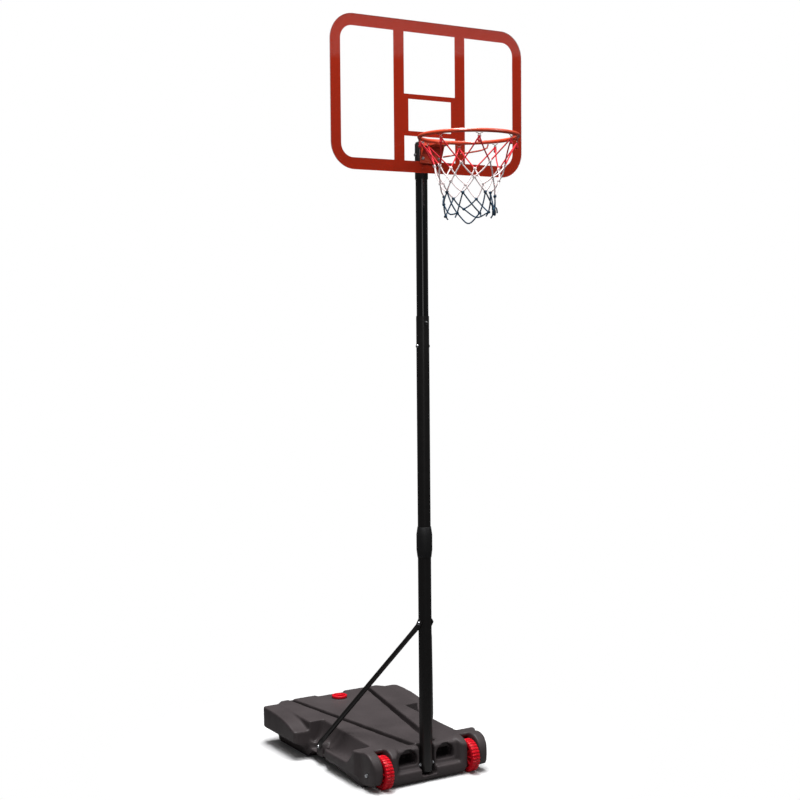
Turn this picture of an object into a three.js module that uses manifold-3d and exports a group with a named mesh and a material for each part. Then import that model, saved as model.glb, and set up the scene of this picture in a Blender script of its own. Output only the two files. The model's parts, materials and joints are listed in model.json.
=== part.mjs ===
// Portable basketball hoop: a wheeled, fillable base, a three-section pole braced by two struts,
// a clear backboard with a printed border, and a rim with a corded net.
// Millimetres, +Z up. The rim points to -Y and the base reaches back to +Y.
// The row's origin is on the floor, at the middle of the base's underside. Everything is built
// in pole coordinates, where the pole's axis is X = 0, Y = 0, and the whole is then shifted back.

import * as THREE from 'three';
import { mergeVertices } from 'three/addons/utils/BufferGeometryUtils.js';
import ManifoldModule from 'manifold-3d';

const wasm = await ManifoldModule();
wasm.setup();

// ---------------------------------------------------------------- driving dimensions

const GAP = 0.3; // between pieces that touch
const POLE_SETBACK = 500; // from the middle of the underside forward to the pole's axis

const RIM_HEIGHT = 3050; // regulation height, at the pole's highest setting
const RIM_INNER = 427; // inside diameter of the ring
const RIM_ROD = 18;
const RIM_CLEARANCE = 85; // from the backboard's face to the ring

const BOARD_WIDTH = 1060;
const BOARD_HEIGHT = 698;
const BOARD_THICKNESS = 4;
const BOARD_BOTTOM = 2916;
const BOARD_FACE_Y = -82; // its front face
const BOARD_CORNER = 122;
const PRINT_THICKNESS = 0.6;
const PRINT_BORDER = 54;
const PRINT_INNER_CORNER = 62;
const STRIPE_INNER_X = 141; // the two upright stripes
const STRIPE_OUTER_X = 197;
const TARGET_BOTTOM = 3084; // the target box between the stripes
const TARGET_TOP = 3277;
const TARGET_BAR = 23;
const TARGET_INNER_X = 118;

const TOP_POLE_R = 28.5;
const MIDDLE_POLE_R = 31.2;
const LOWER_POLE_R = 32;
const TUBE_WALL = 2;
const LOWER_POLE_BOTTOM = 54;
const LOWER_POLE_TOP = 1165;
const SPIGOT_DEPTH = 150; // the middle pole's reduced end, inside the lower pole
const MIDDLE_POLE_TOP = 2249;
const TOP_POLE_BOTTOM = 1900;
const TOP_POLE_TOP = 3064;
const COLLAR_BOTTOM = 1091;
const COLLAR_TOP = 1239;
const COLLAR_R = 38.5;
const CLAMP_SCREW_Z = 2217;
const SIDE_SCREW_Z = 2106;

const AXLE_R = 5;
const AXLE_Z = 80;
const AXLE_COLLAR_LENGTH = 8; // the collars that centre the pole on the axle
const WHEEL_R = 79.7;
const WHEEL_WIDTH = 45;
const WHEEL_X = 246;

const STRUT_R = 12.5;
const STRUT_PIN_Z = 773;
const STRUT_FOOT = { x: 332, y: 484, z: 94 };
const STRUT_PLATE = 4; // thickness of the flattened ends

const TANK_FRONT_Y = -10; // front of the deck between the wheels
const LIP_FRONT_Y = -38; // front of the low lip under it
const LIP_TOP_Z = 70;
const TANK_REAR_Y = 1005;
const TANK_HALF_WIDTH = 350; // along the sides
const WING_HALF_WIDTH = 412; // at the rear wings
const LOBE_OUTER_X = 330; // outer face of the front lobes
const LOBE_INNER_X = 170;
const DECK_FRONT_Z = 176;
const DECK_SLOPE = 0.031; // the deck rises to the rear
const TANK_WALL = 6;
const CAP_Y = 865;
const CAP_R = 41;
const NECK_R = 24; // bore of the filler neck

const BOLT_R = 4;

// ---------------------------------------------------------------- geometry helpers

// A closed mesh with merged corners and its faces outward, as a solid for joins and cuts.
function solid(geometry) {
  const bare = new THREE.BufferGeometry();
  bare.setAttribute('position', geometry.getAttribute('position').clone());
  if (geometry.index) bare.setIndex(geometry.index.clone());
  const merged = mergeVertices(bare, 1e-3);
  const points = merged.getAttribute('position').array;
  const corners = [];
  for (let i = 0; i < merged.index.count; i += 3) {
    const [a, b, c] = [0, 1, 2].map((k) => merged.index.getX(i + k));
    if (a !== b && b !== c && c !== a) corners.push(a, b, c);
  }
  if (signedVolume(points, corners) < 0) {
    for (let i = 0; i < corners.length; i += 3) {
      [corners[i], corners[i + 1]] = [corners[i + 1], corners[i]];
    }
  }
  const mesh = new wasm.Mesh({
    numProp: 3,
    vertProperties: new Float32Array(points),
    triVerts: new Uint32Array(corners),
  });
  return new wasm.Manifold(mesh);
}

function signedVolume(points, corners) {
  const corner = (i) => new THREE.Vector3().fromArray(points, 3 * corners[i]);
  let volume = 0;
  for (let i = 0; i < corners.length; i += 3) {
    volume += corner(i).dot(corner(i + 1).cross(corner(i + 2))) / 6;
  }
  return volume;
}

function fromSolid(manifold) {
  const mesh = manifold.getMesh();
  const geometry = new THREE.BufferGeometry();
  geometry.setAttribute('position', new THREE.BufferAttribute(mesh.vertProperties, 3));
  geometry.setIndex(new THREE.BufferAttribute(mesh.triVerts, 1));
  return geometry;
}

function join(...pieces) {
  return fromSolid(pieces.map(solid).reduce((sum, piece) => sum.add(piece)));
}

function cut(body, ...tools) {
  return fromSolid(tools.map(solid).reduce((rest, tool) => rest.subtract(tool), solid(body)));
}

function common(a, b) {
  return fromSolid(solid(a).intersect(solid(b)));
}

function mirrored(geometry) {
  return geometry.clone().applyMatrix4(new THREE.Matrix4().makeScale(-1, 1, 1));
}

function both(geometry) {
  return [geometry, mirrored(geometry)];
}

// Turns a shape made along +Z so that it runs along a direction.
function aim(geometry, direction) {
  const turn = new THREE.Quaternion();
  turn.setFromUnitVectors(new THREE.Vector3(0, 0, 1), new THREE.Vector3(...direction).normalize());
  return geometry.applyQuaternion(turn);
}

// A round bar along a direction, centred on a point.
function bar(radius, length, direction, centre, sides = 24) {
  const geometry = new THREE.CylinderGeometry(radius, radius, length, sides).rotateX(Math.PI / 2);
  return aim(geometry, direction).translate(...centre);
}

function block(low, high) {
  const size = high.map((value, i) => value - low[i]);
  const centre = high.map((value, i) => (value + low[i]) / 2);
  return new THREE.BoxGeometry(...size).translate(...centre);
}

// A solid of revolution about Z from [radius, z] corners.
function turned(profile, sides = 28) {
  const points = profile.map(([r, z]) => new THREE.Vector2(r, z));
  return new THREE.LatheGeometry(points, sides).rotateX(Math.PI / 2);
}

function tube(inner, outer, bottom, top, sides = 28) {
  return turned([[inner, bottom], [outer, bottom], [outer, top], [inner, top], [inner, bottom]], sides);
}

// A flat outline in X and Y, raised from one height to another.
function raised(outline, bottom, top) {
  const settings = { depth: top - bottom, bevelEnabled: false, curveSegments: 8 };
  return new THREE.ExtrudeGeometry(outline, settings).translate(0, 0, bottom);
}

// A side outline in Y and Z, carried across from one X to another.
function across(outline, from, to) {
  const settings = { depth: to - from, bevelEnabled: false, curveSegments: 16 };
  const toSide = new THREE.Matrix4().set(0, 0, 1, from, 1, 0, 0, 0, 0, 1, 0, 0, 0, 0, 0, 1);
  return new THREE.ExtrudeGeometry(outline, settings).applyMatrix4(toSide);
}

// A front outline in X and Z, carried back from one Y to another.
function backward(outline, from, to) {
  const settings = { depth: to - from, bevelEnabled: false, curveSegments: 10 };
  const toFront = new THREE.Matrix4().set(1, 0, 0, 0, 0, 0, 1, from, 0, 1, 0, 0, 0, 0, 0, 1);
  return new THREE.ExtrudeGeometry(outline, settings).applyMatrix4(toFront);
}

function polygon(points) {
  return new THREE.Shape(points.map(([x, y]) => new THREE.Vector2(x, y)));
}

// A rectangle with rounded corners.
function roundedRectangle(left, bottom, right, top, radius) {
  const outline = new THREE.Shape();
  outline.moveTo(left + radius, bottom);
  outline.absarc(right - radius, bottom + radius, radius, -Math.PI / 2, 0);
  outline.absarc(right - radius, top - radius, radius, 0, Math.PI / 2);
  outline.absarc(left + radius, top - radius, radius, Math.PI / 2, Math.PI);
  outline.absarc(left + radius, bottom + radius, radius, Math.PI, 1.5 * Math.PI);
  return outline;
}

// A round rod along a curve.
function rodAlong(curve, radius, steps, sides = 8) {
  const section = new THREE.Shape();
  section.absarc(0, 0, radius, 0, 2 * Math.PI);
  const settings = { steps, extrudePath: curve, curveSegments: sides };
  return new THREE.ExtrudeGeometry(section, settings);
}

// A dome-headed bolt. The underside of its head sits on the point, and its shank runs against
// the outward direction that the head faces.
function bolt(outward, point, shank, headR = 7.5, headHeight = 5) {
  const shankR = BOLT_R - GAP;
  const dome = [[shankR, 0], [headR, 0], [0.86 * headR, 0.6 * headHeight], [0.45 * headR, headHeight]];
  const profile = [[0, -shank], [shankR, -shank], ...dome, [0, headHeight]];
  return aim(turned(profile, 16), outward).translate(...point);
}

// A hexagon nut on a bolt's end, its inner face on the point.
function nut(outward, point, cornerR = 7.5, thickness = 6) {
  const body = new THREE.CylinderGeometry(cornerR, cornerR, thickness, 6).rotateX(Math.PI / 2);
  const bore = bar(BOLT_R, 3 * thickness, [0, 0, 1], [0, 0, 0], 16);
  const bored = cut(body.translate(0, 0, thickness / 2), bore);
  return aim(bored, outward).translate(...point);
}

// ---------------------------------------------------------------- finishes

function finish(color, roughness, metalness, opacity = 1) {
  const transparent = opacity < 1;
  return new THREE.MeshStandardMaterial({ color, roughness, metalness, opacity, transparent });
}

const FINISH = {
  tankPlastic: finish(0x484547, 0.6, 0),
  redPlastic: finish(0xc8102a, 0.4, 0),
  blackPlastic: finish(0x1b1b1c, 0.5, 0),
  blackPaint: finish(0x161515, 0.32, 0.3),
  glossPaint: finish(0x0c0c0d, 0.15, 0.3),
  zinc: finish(0xb9bcc0, 0.3, 0.9),
  rimPaint: finish(0xc8401c, 0.35, 0.2),
  clear: finish(0xf2f7fa, 0.05, 0, 0.25),
  print: finish(0xa8321a, 0.4, 0),
  rubber: finish(0x202020, 0.8, 0),
  netCord: finish(0xd8d8dc, 0.8, 0),
};

const hoop = new THREE.Group();
hoop.position.y = -POLE_SETBACK;

function add(name, geometry, material) {
  const shape = fromSolid(solid(geometry));
  shape.computeVertexNormals();
  const mesh = new THREE.Mesh(shape, material);
  mesh.name = name;
  hoop.add(mesh);
  return mesh;
}

const SIDES = [['left', -1], ['right', 1]];

// ---------------------------------------------------------------- base tank

function deckHeight(y) {
  return DECK_FRONT_Z + DECK_SLOPE * y;
}

const NECK_TOP = deckHeight(CAP_Y) + 3;

// The plan of the tank without its wings and front lobes.
function tankPlan() {
  const half = TANK_HALF_WIDTH;
  const side = [[LOBE_INNER_X + 42, LIP_FRONT_Y], [LOBE_INNER_X + 42, 60], [half - 18, 60], [half, 90],
    [half, 380], [half - 22, 420], [half - 22, 610], [half - 20, 940], [300, TANK_REAR_Y - 30],
    [262, TANK_REAR_Y]];
  const other = side.map(([x, y]) => [-x, y]).reverse();
  return polygon([...side, ...other]);
}

// The deck seen from the side: a low lip in front, rising to the rear, rolled over at the back.
function deckProfile() {
  const lip = [[TANK_FRONT_Y, LIP_TOP_Z + 4], [LIP_FRONT_Y, LIP_TOP_Z - 4], [LIP_FRONT_Y, 34],
    [LIP_FRONT_Y + 16, 6], [52, 0]];
  const rear = [[TANK_REAR_Y - 60, 0], [TANK_REAR_Y, 40], [TANK_REAR_Y, deckHeight(TANK_REAR_Y) - 35],
    [TANK_REAR_Y - 28, deckHeight(TANK_REAR_Y - 28)]];
  const front = [[70, deckHeight(70)], [TANK_FRONT_Y + 14, DECK_FRONT_Z - 1],
    [TANK_FRONT_Y, DECK_FRONT_Z - 14]];
  return polygon([...lip, ...rear, ...front]);
}

// A fender lobe seen from the side: a round nose over the wheel that falls back to the deck.
function lobeProfile() {
  const outline = new THREE.Shape();
  const noseR = 88;
  const centre = { y: 26, z: 94 };
  outline.moveTo(160, 0);
  outline.lineTo(108, 2);
  outline.lineTo(66, 16);
  outline.absarc(centre.y, centre.z, noseR, Math.PI + 0.75, Math.PI / 2 - 0.35, true);
  outline.quadraticCurveTo(120, 150, 235, 140);
  outline.lineTo(250, 0);
  return outline;
}

// The lobe from above: its outer arm reaches further forward than its inner arm.
function lobePlan() {
  const [inner, outer] = [LOBE_INNER_X, LOBE_OUTER_X];
  return polygon([[inner, 300], [inner, -8], [inner + 7, -28], [inner + 22, -40], [inner + 48, -40],
    [inner + 100, -70], [outer - 22, -70], [outer - 6, -52], [outer, -24], [outer, 300]]);
}

// A rear wing seen from the side: level at the back, falling to a blunt end at the strut's foot.
function wingProfile() {
  const outline = new THREE.Shape();
  outline.moveTo(578, 84);
  outline.lineTo(640, 30);
  outline.lineTo(930, 30);
  outline.lineTo(985, 90);
  outline.lineTo(988, 165);
  outline.quadraticCurveTo(985, 196, 950, 198);
  outline.quadraticCurveTo(760, 204, 655, 168);
  outline.quadraticCurveTo(610, 150, 574, 146);
  return outline;
}

function wingPlan() {
  const outer = WING_HALF_WIDTH;
  return polygon([[200, 625], [330, 590], [outer - 12, 592], [outer, 600], [outer, 940],
    [outer - 14, 978], [outer - 50, 990], [200, 990]]);
}

// A slanting groove in the deck, from beside the pole to the rear, where it is narrower.
function deckGroove() {
  const rearY = TANK_REAR_Y - 24;
  return raised(polygon([[36, 36], [76, 36], [248, rearY], [222, rearY]]), 144, 260);
}

// The hollow in each side, ahead of the strut's foot: a trough behind a low outer ridge.
function sideHollow() {
  const outline = new THREE.Shape();
  outline.moveTo(238, 250);
  outline.lineTo(246, 190);
  outline.quadraticCurveTo(264, 92, 302, 88);
  outline.quadraticCurveTo(320, 88, 332, 106);
  outline.lineTo(500, 98);
  outline.lineTo(500, 250);
  return outline;
}

// The hollow from the side: its floor climbs to the front lobe.
function hollowRun() {
  const outline = new THREE.Shape();
  outline.moveTo(590, 60);
  outline.lineTo(590, 260);
  outline.lineTo(100, 260);
  outline.lineTo(112, 168);
  outline.quadraticCurveTo(150, 110, 240, 60);
  return outline;
}

// The notch that holds the strut's foot: its floor is a low shelf.
function footNotch() {
  const plan = polygon([[290, 438], [500, 438], [500, 590], [334, 590], [290, 562]]);
  return raised(plan, 56, 260);
}

// The sides stand clear of the floor between the wing and the front lobe, with a wavy lower edge.
function sideArch() {
  const outline = new THREE.Shape();
  outline.moveTo(118, -5);
  outline.quadraticCurveTo(150, 26, 196, 20);
  outline.quadraticCurveTo(222, 44, 272, 36);
  outline.quadraticCurveTo(300, 56, 356, 44);
  outline.quadraticCurveTo(420, 54, 570, 48);
  outline.lineTo(640, -5);
  return across(outline, 262, 500);
}

function footLug() {
  const outside = STRUT_FOOT.x - STRUT_PLATE / 2 - GAP;
  const [y, z] = [STRUT_FOOT.y, STRUT_FOOT.z];
  const foot = [[y - 30, 44], [y + 30, 44], [y + 30, z - 8]];
  const head = [[y + 14, z + 18], [y - 14, z + 18], [y - 30, z - 8]];
  return across(polygon([...foot, ...head]), 280, outside);
}

// Arched recess in the front, one on each side of the pole. It is lower further in, under the
// deck's groove.
function frontRecess() {
  const outline = new THREE.Shape();
  const sill = AXLE_Z + 10; // over the axle
  outline.moveTo(54, sill);
  outline.lineTo(158, sill);
  outline.lineTo(158, 116);
  outline.absellipse(106, 116, 52, 50, 0, Math.PI);
  const arch = backward(outline, LIP_FRONT_Y - 20, 30);
  return join(arch, block([60, 0, sill], [152, 96, 132]));
}

// The space round a wheel, open in front, below, and above the wheel's front half.
function wheelWell() {
  const from = WHEEL_X - WHEEL_WIDTH / 2 - 7;
  const to = WHEEL_X + WHEEL_WIDTH / 2 + 7;
  const wellR = WHEEL_R + 12;
  const round = bar(wellR, to - from, [1, 0, 0], [(from + to) / 2, 0, AXLE_Z], 40);
  const mouth = raised(roundedRectangle(from, -200, to, 46, 22), -1, 260);
  const under = block([from, -200, -1], [to, 60, 40]);
  return join(round, mouth, under);
}

// The water space inside, reached through the filler neck.
function tankCavity() {
  const wall = TANK_WALL;
  const side = [[150, 150], [226, 300], [226, 640], [300, 700], [300, 960]];
  const plan = polygon([...side, ...side.map(([x, y]) => [-x, y]).reverse()]);
  const profile = polygon([[120, wall], [930, wall], [965, 50], [965, 130], [120, 120]]);
  return common(raised(plan, 0, 300), across(profile, -400, 400));
}

// The slot for the pole's foot in front, and the handhold at the rear.
function tankSlots() {
  const halfSlot = LOWER_POLE_R + AXLE_COLLAR_LENGTH + 2;
  const slot = block([-halfSlot, -100, 32], [halfSlot, LOWER_POLE_R + 6, 260]);
  const handhold = block([-84, TANK_REAR_Y - 48, 112], [84, TANK_REAR_Y + 10, 260]);
  return [slot, handhold];
}

// The tank seen from the front: its sides lean in towards the floor.
function crossSection() {
  const side = [[318, 0], [345, 62], [WING_HALF_WIDTH + 3, 94], [WING_HALF_WIDTH + 3, 300]];
  const other = side.map(([x, z]) => [-x, z]).reverse();
  return polygon([...side, ...other]);
}

function baseTank() {
  const deck = common(raised(tankPlan(), 0, 260), across(deckProfile(), -400, 400));
  const lobe = common(
    across(lobeProfile(), LOBE_INNER_X, LOBE_OUTER_X),
    raised(lobePlan(), 0, 260),
  );
  const wing = common(raised(wingPlan(), 0, 260), across(wingProfile(), 0, 430));
  const hollow = common(backward(sideHollow(), 100, 590), across(hollowRun(), 200, 500));
  const boss = turned([[0, 100], [CAP_R + 9, 100], [CAP_R + 6, NECK_TOP], [0, NECK_TOP]]);
  const neck = bar(NECK_R, 120, [0, 0, 1], [0, CAP_Y, NECK_TOP - 40]);
  const sheer = backward(crossSection(), -200, 1100);
  const outer = common(join(deck, ...both(lobe), ...both(wing)), sheer);
  const sides = [hollow, footNotch(), sideArch(), deckGroove()].flatMap(both);
  const shell = join(cut(outer, ...sides), ...both(footLug()), boss.translate(0, CAP_Y, 0));
  const front = [frontRecess(), wheelWell()].flatMap(both);
  const tank = cut(shell, ...tankSlots(), ...front, tankCavity(), neck);
  const axleBore = bar(AXLE_R + GAP, 1000, [1, 0, 0], [0, 0, AXLE_Z]);
  const footBore = bar(BOLT_R, 60, [1, 0, 0], [STRUT_FOOT.x - 20, STRUT_FOOT.y, STRUT_FOOT.z], 16);
  return cut(tank, axleBore, ...both(footBore));
}

add('base_tank', baseTank(), FINISH.tankPlastic);

// ---------------------------------------------------------------- filler cap

// A disc with a raised edge and a grip across its hollow.
function capDisc() {
  const edge = [[CAP_R, 2.5], [CAP_R, 13], [CAP_R - 3, 15], [CAP_R - 9, 15], [CAP_R - 11, 8]];
  const rim = [[0, 2.5], ...edge, [0, 8]];
  const grip = block([-CAP_R + 10, -5, 7], [CAP_R - 10, 5, 15]);
  return join(turned(rim), grip).translate(0, CAP_Y, NECK_TOP);
}

function capPlug() {
  const plug = turned([[0, -18], [NECK_R - 3, -18], [NECK_R - 1.5, -15], [NECK_R - 1.5, 4], [0, 4]]);
  return plug.translate(0, CAP_Y, NECK_TOP);
}

add('filler_cap', join(capDisc(), capPlug()), FINISH.redPlastic);
const gasket = tube(NECK_R - 1, NECK_R + 8, GAP, 2.5 - GAP).translate(0, CAP_Y, NECK_TOP);
add('cap_gasket', gasket, FINISH.rubber);

// ---------------------------------------------------------------- wheels and axle

// The wheel's section: a crowned tread, a recessed web on each face, and a hub.
function wheelSection() {
  const half = WHEEL_WIDTH / 2;
  const bore = AXLE_R + GAP;
  const hub = [[bore, half - 2], [16, half - 2], [18, half - 9]];
  const tread = [[WHEEL_R - 24, half - 9], [WHEEL_R - 20, half], [WHEEL_R - 5, half], [WHEEL_R, half - 6]];
  const outer = [...hub, ...tread];
  const inner = outer.map(([r, x]) => [r, -x]).reverse();
  return [...outer, ...inner, hub[0]];
}

function wheel(side) {
  const body = aim(turned(wheelSection(), 36), [1, 0, 0]);
  return body.translate(side * WHEEL_X, 0, AXLE_Z);
}

for (const [name, side] of SIDES) {
  add(`wheel_${name}`, wheel(side), FINISH.redPlastic);
}

const AXLE_HALF = LOBE_OUTER_X + 8;
add('wheel_axle', bar(AXLE_R, 2 * AXLE_HALF, [1, 0, 0], [0, 0, AXLE_Z]), FINISH.zinc);
for (const [name, side] of SIDES) {
  const cup = cut(
    turned([[0, 0], [10, 0], [10, 6], [7, 10], [0, 10]], 20),
    bar(AXLE_R + GAP, 2 * (AXLE_HALF - LOBE_OUTER_X), [0, 0, 1], [0, 0, 0]),
  );
  const cap = aim(cup, [side, 0, 0]).translate(side * (LOBE_OUTER_X + GAP), 0, AXLE_Z);
  add(`axle_cap_${name}`, cap, FINISH.zinc);
}

const collarSeat = LOWER_POLE_R + 2 * GAP;
const axleCollar = aim(tube(AXLE_R + GAP, 8.5, 0, AXLE_COLLAR_LENGTH, 20), [1, 0, 0]);
axleCollar.translate(collarSeat, 0, AXLE_Z);
for (const [name, side] of SIDES) {
  add(`axle_collar_${name}`, side < 0 ? mirrored(axleCollar) : axleCollar, FINISH.zinc);
}

// ---------------------------------------------------------------- pole

const axleHole = bar(AXLE_R + GAP, 100, [1, 0, 0], [0, 0, AXLE_Z]);
const pinHole = bar(BOLT_R, 100, [1, 0, 0], [0, 0, STRUT_PIN_Z], 16);
const lowerTube = tube(LOWER_POLE_R - TUBE_WALL, LOWER_POLE_R, LOWER_POLE_BOTTOM, LOWER_POLE_TOP);
add('lower_pole', cut(lowerTube, axleHole, pinHole), FINISH.blackPaint);

const LOWER_BORE_R = LOWER_POLE_R - TUBE_WALL - GAP; // what fits inside the lower pole
const plugSeat = LOWER_POLE_BOTTOM - GAP;
const footPlug = turned([[0, 44], [LOWER_POLE_R - 12, 44], [LOWER_POLE_R - 3, 47],
  [LOWER_POLE_R, plugSeat], [LOWER_BORE_R, plugSeat], [LOWER_BORE_R, 70], [0, 70]]);
add('pole_foot_plug', footPlug, FINISH.blackPlastic);

// The middle section: its lower end is drawn in to slide into the lower section.
function middlePole() {
  const spigotR = LOWER_BORE_R;
  const step = LOWER_POLE_TOP + GAP;
  const outside = [[spigotR, LOWER_POLE_TOP - SPIGOT_DEPTH], [spigotR, step], [MIDDLE_POLE_R, step],
    [MIDDLE_POLE_R, MIDDLE_POLE_TOP]];
  const inside = [[MIDDLE_POLE_R - TUBE_WALL, MIDDLE_POLE_TOP], [MIDDLE_POLE_R - TUBE_WALL, step + 6],
    [spigotR - TUBE_WALL, step], [spigotR - TUBE_WALL, LOWER_POLE_TOP - SPIGOT_DEPTH]];
  const body = turned([...outside, ...inside, outside[0]]);
  const sideHoles = bar(BOLT_R, 100, [1, 0, 0], [0, 0, SIDE_SCREW_Z], 16);
  const reach = MIDDLE_POLE_R + 5;
  const frontHole = bar(BOLT_R, reach, [0, 1, 0], [0, -reach / 2, CLAMP_SCREW_Z], 16);
  return cut(body, sideHoles, frontHole);
}

add('middle_pole', middlePole(), FINISH.blackPaint);

// The sleeve over the joint, tapered at both ends, bored for the pole's step.
function poleCollar() {
  const taper = 38;
  const lower = LOWER_POLE_R + GAP;
  const upper = MIDDLE_POLE_R + GAP;
  const step = LOWER_POLE_TOP + 2 * GAP;
  const bore = [[upper, COLLAR_TOP], [upper, step], [lower, step], [lower, COLLAR_BOTTOM]];
  const skin = [[lower + 1.5, COLLAR_BOTTOM], [COLLAR_R, COLLAR_BOTTOM + taper],
    [COLLAR_R, COLLAR_TOP - taper], [upper + 1.5, COLLAR_TOP]];
  return turned([...bore, ...skin, bore[0]]);
}

add('pole_collar', poleCollar(), FINISH.blackPlastic);

const BRACKET_BOLT_Z = 3009;
const topTube = tube(TOP_POLE_R - TUBE_WALL, TOP_POLE_R, TOP_POLE_BOTTOM, TOP_POLE_TOP);
const bracketHole = bar(BOLT_R, 100, [1, 0, 0], [0, 0, BRACKET_BOLT_Z], 16);
add('top_pole', cut(topTube, bracketHole), FINISH.glossPaint);

const capSpigot = TOP_POLE_R - TUBE_WALL - GAP;
const topCap = turned([[0, -16], [capSpigot, -16], [capSpigot, GAP], [TOP_POLE_R, GAP],
  [TOP_POLE_R - 2, 5], [TOP_POLE_R - 9, 8], [0, 8]]);
add('pole_top_cap', topCap.translate(0, 0, TOP_POLE_TOP), FINISH.blackPlastic);

for (const [name, side] of SIDES) {
  const seat = side * (MIDDLE_POLE_R + GAP);
  add(`side_screw_${name}`, bolt([side, 0, 0], [seat, 0, SIDE_SCREW_Z], 2.3, 9, 6), FINISH.zinc);
}

const clampSeat = MIDDLE_POLE_R + GAP;
const washer = tube(BOLT_R + GAP, 9, 0, 1.6, 20);
add('clamp_washer', aim(washer, [0, -1, 0]).translate(0, -clampSeat, CLAMP_SCREW_Z), FINISH.zinc);
const clampScrew = bolt([0, -1, 0], [0, -clampSeat - 1.6 - GAP, CLAMP_SCREW_Z], 4.2, 8, 9);
add('clamp_screw', clampScrew, FINISH.blackPlastic);

// ---------------------------------------------------------------- struts

// A steel tube whose ends are pressed flat and bolted, one to the pole and one to the tank.
// It starts as a round bar of many slices; each slice is moved onto the strut's line and
// squeezed the more, the nearer it is to an end.
function strutTube() {
  const top = new THREE.Vector3(LOWER_POLE_R + GAP + STRUT_PLATE / 2, 0, STRUT_PIN_Z);
  const foot = new THREE.Vector3(STRUT_FOOT.x, STRUT_FOOT.y, STRUT_FOOT.z);
  const down = new THREE.Vector3(0, foot.y - top.y, foot.z - top.z).normalize();
  const edge = new THREE.Vector3(0, -down.z, down.y);
  const reach = 16; // past each bolt's centre
  const flat = 26; // from the bolt's centre to where the bend starts
  const swell = 80; // length over which the tube turns from flat to round
  const ends = [
    top.clone().addScaledVector(down, -reach), top.clone().addScaledVector(down, flat),
    foot.clone().addScaledVector(down, -flat), foot.clone().addScaledVector(down, reach),
  ];
  const path = new THREE.CurvePath();
  path.add(new THREE.LineCurve3(ends[0], ends[1]));
  path.add(new THREE.LineCurve3(ends[1], ends[2]));
  path.add(new THREE.LineCurve3(ends[2], ends[3]));
  const length = path.getLength();
  const stretch = (s) => THREE.MathUtils.smoothstep(s, reach + flat, reach + flat + swell);
  const slices = [0, 1, 1.5, 2, 2.5, 3].map((k) => k * (reach + flat));
  const stations = [...slices, ...slices.map((s) => length - s).reverse()];
  const tubeShape = new THREE.CylinderGeometry(1, 1, 1, 16, stations.length - 1);
  const position = tubeShape.getAttribute('position');
  const point = new THREE.Vector3();
  for (let i = 0; i < position.count; i += 1) {
    point.fromBufferAttribute(position, i);
    const station = stations[Math.round((0.5 - point.y) * (stations.length - 1))];
    const round = Math.min(stretch(station), stretch(length - station));
    const thick = THREE.MathUtils.lerp(STRUT_PLATE / 2, STRUT_R, round);
    const wide = THREE.MathUtils.lerp(STRUT_R * 1.35, STRUT_R, round);
    const centre = path.getPointAt(station / length);
    centre.x += point.x * thick;
    centre.addScaledVector(edge, point.z * wide);
    position.setXYZ(i, centre.x, centre.y, centre.z);
  }
  return tubeShape;
}

const footHole = bar(BOLT_R, 40, [1, 0, 0], [STRUT_FOOT.x, STRUT_FOOT.y, STRUT_FOOT.z], 16);
const strut = cut(strutTube(), pinHole, footHole);
for (const [name, side] of SIDES) {
  add(`strut_${name}`, side < 0 ? mirrored(strut) : strut, FINISH.blackPaint);
}

const pinSeat = LOWER_POLE_R + STRUT_PLATE + 2 * GAP;
add('strut_pin', bolt([-1, 0, 0], [-pinSeat, 0, STRUT_PIN_Z], 2 * pinSeat + 8, 9, 5), FINISH.zinc);
add('strut_pin_nut', nut([1, 0, 0], [pinSeat, 0, STRUT_PIN_Z]), FINISH.zinc);
for (const [name, side] of SIDES) {
  const seat = side * (STRUT_FOOT.x + STRUT_PLATE / 2 + GAP);
  const footBolt = bolt([side, 0, 0], [seat, STRUT_FOOT.y, STRUT_FOOT.z], 38, 8, 5);
  add(`strut_foot_bolt_${name}`, footBolt, FINISH.zinc);
}

// ---------------------------------------------------------------- backboard

const BOARD_TOP = BOARD_BOTTOM + BOARD_HEIGHT;
const BOARD_BACK_Y = BOARD_FACE_Y + BOARD_THICKNESS;
const BOARD_BOLT_X = 45;
const BOARD_BOLT_HEIGHTS = { low: 2984, high: 3056 };
const boardBolts = Object.entries(BOARD_BOLT_HEIGHTS).flatMap(([level, z]) => {
  return SIDES.map(([name, side]) => ({ name: `${level}_${name}`, x: side * BOARD_BOLT_X, z }));
});
const boardHoles = boardBolts.map(({ x, z }) => bar(BOLT_R, 60, [0, 1, 0], [x, BOARD_FACE_Y, z], 16));

function boardOutline(radius = BOARD_CORNER) {
  const half = BOARD_WIDTH / 2;
  return roundedRectangle(-half, BOARD_BOTTOM, half, BOARD_TOP, radius);
}

const panel = backward(boardOutline(), BOARD_FACE_Y, BOARD_BACK_Y);
add('backboard_panel', cut(panel, ...boardHoles), FINISH.clear);

// A tall side window: square beside the stripe, rounded at the board's corners.
function sideWindow() {
  const low = BOARD_BOTTOM + PRINT_BORDER;
  const high = BOARD_TOP - PRINT_BORDER;
  const far = BOARD_WIDTH / 2 - PRINT_BORDER;
  const r = PRINT_INNER_CORNER;
  const window = new THREE.Shape();
  window.moveTo(STRIPE_OUTER_X, low);
  window.lineTo(far - r, low);
  window.absarc(far - r, low + r, r, -Math.PI / 2, 0);
  window.absarc(far - r, high - r, r, 0, Math.PI / 2);
  window.lineTo(STRIPE_OUTER_X, high);
  return window;
}

function centreWindow(half, low, high) {
  return polygon([[-half, low], [half, low], [half, high], [-half, high]]);
}

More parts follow.
